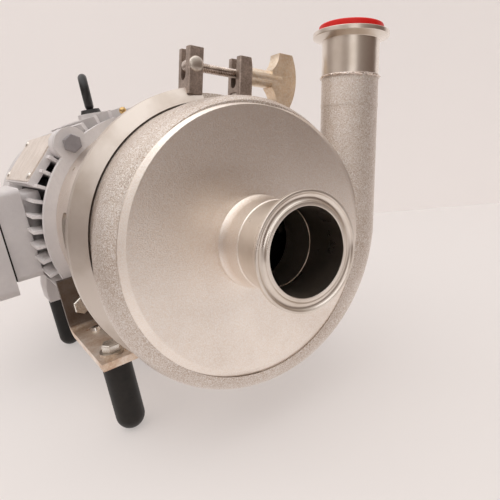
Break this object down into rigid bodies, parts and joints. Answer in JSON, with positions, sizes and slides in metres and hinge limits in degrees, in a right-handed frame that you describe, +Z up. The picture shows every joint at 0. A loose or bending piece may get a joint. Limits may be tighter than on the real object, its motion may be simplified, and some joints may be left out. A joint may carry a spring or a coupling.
{
  "type": "sanitary centrifugal pump",
  "caption": "Sanitary centrifugal pump: round spiral casing with clamp-ferrule ports, V-band clamp with swing bolt and hand nut, stainless lantern and finned electric motor on round legs.",
  "frame": {"origin": "centre of the suction mouth, on the shaft axis", "axes": "+Y along the shaft towards the motor, +Z up, +X to the right seen from the suction side"},
  "size_m": [0.2804, 0.468, 0.2635],
  "materials": {
    "stainless_blasted": "bead-blasted stainless steel",
    "stainless_turned": "turned and polished stainless steel",
    "jaw_steel": "dark cast steel",
    "nut_bronze": "nickel-bronze, satin",
    "zinc_steel": "zinc-plated steel",
    "bracket_steel": "bent stainless plate, dull",
    "grey_paint": "grey motor paint, satin",
    "black_paint": "black paint",
    "black_rubber": "black rubber, matt",
    "red_plastic": "red plastic, satin",
    "brass": "brass",
    "grey_plastic": "grey plastic",
    "carbon": "dark carbon",
    "copper": "enamelled copper",
    "core_steel": "laminated steel"
  },
  "bodies": {
    "base": {"backplate": "stainless_turned", "backplate_screws": "zinc_steel", "bracket_bolts": "zinc_steel", "bracket_left": "bracket_steel", "bracket_right": "bracket_steel", "cable_gland": "black_rubber", "casing_oring": "black_rubber", "casing_volute": "stainless_blasted", "clamp_half_left": "stainless_turned", "clamp_half_right": "stainless_turned", "clamp_hinge_pin": "zinc_steel", "clamp_jaw_left": "jaw_steel", "clamp_jaw_right": "jaw_steel", "clamp_pivot_pin": "zinc_steel", "cowl_screws": "zinc_steel", "discharge_ferrule": "stainless_turned", "discharge_tube": "stainless_blasted", "earth_screw": "zinc_steel", "eyebolt": "black_paint", "fan_cowl": "grey_paint", "flush_fitting": "brass", "front_bearing": "zinc_steel", "front_plate": "stainless_blasted", "lantern": "stainless_blasted", "lantern_bolts": "zinc_steel", "leg_bolts": "zinc_steel", "leg_washers": "zinc_steel", "legs": "black_rubber", "motor_frame": "grey_paint", "motor_front_shield": "grey_paint", "motor_rear_shield": "grey_paint", "nameplate": "bracket_steel", "nameplate_rivets": "zinc_steel", "rear_bearing": "zinc_steel", "rear_shield_screws": "zinc_steel", "seal_stationary_ring": "carbon", "stator_core": "core_steel", "stator_windings": "copper", "suction_ferrule": "stainless_turned", "suction_nozzle": "stainless_blasted", "terminal_block": "carbon", "terminal_box": "grey_paint", "terminal_gasket": "black_rubber", "terminal_lid": "grey_paint", "terminal_lid_screws": "zinc_steel", "tie_bolts": "grey_paint"},
    "shaft": {"impeller": "stainless_turned", "impeller_nut": "stainless_turned", "pump_shaft": "stainless_turned", "seal_rotating_ring": "carbon", "seal_spring": "stainless_turned", "shaft_clamp_ring": "zinc_steel", "clamp_ring_screw": "zinc_steel", "flinger": "black_rubber", "motor_shaft": "core_steel", "rotor_core": "core_steel", "cooling_fan": "grey_plastic"},
    "swing_bolt": {"swing_bolt": "zinc_steel"},
    "hand_nut": {"wing_nut": "nut_bronze"},
    "cap": {"outlet_cap": "red_plastic"}
  },
  "joints": [
    {"name": "shaft_spin", "type": "hinge", "parent": "base", "child": "shaft", "pos_m": [0, 0.2, 0], "axis": [0, 1, 0], "continuous": true},
    {"name": "swing_bolt_pivot", "type": "hinge", "parent": "base", "child": "swing_bolt", "pos_m": [0.00969, 0.1065, 0.10766], "axis": [0, -1, 0], "range_deg": [0, 100]},
    {"name": "hand_nut_turn", "type": "hinge", "parent": "swing_bolt", "child": "hand_nut", "pos_m": [0.00969, 0.1065, 0.10766], "axis": [0.9659, 0, -0.2588], "continuous": true},
    {"name": "cap_lift", "type": "slide", "parent": "base", "child": "cap", "axis": [0.2079, 0, 0.9781], "range_m": [0, 0.04]}
  ]
}
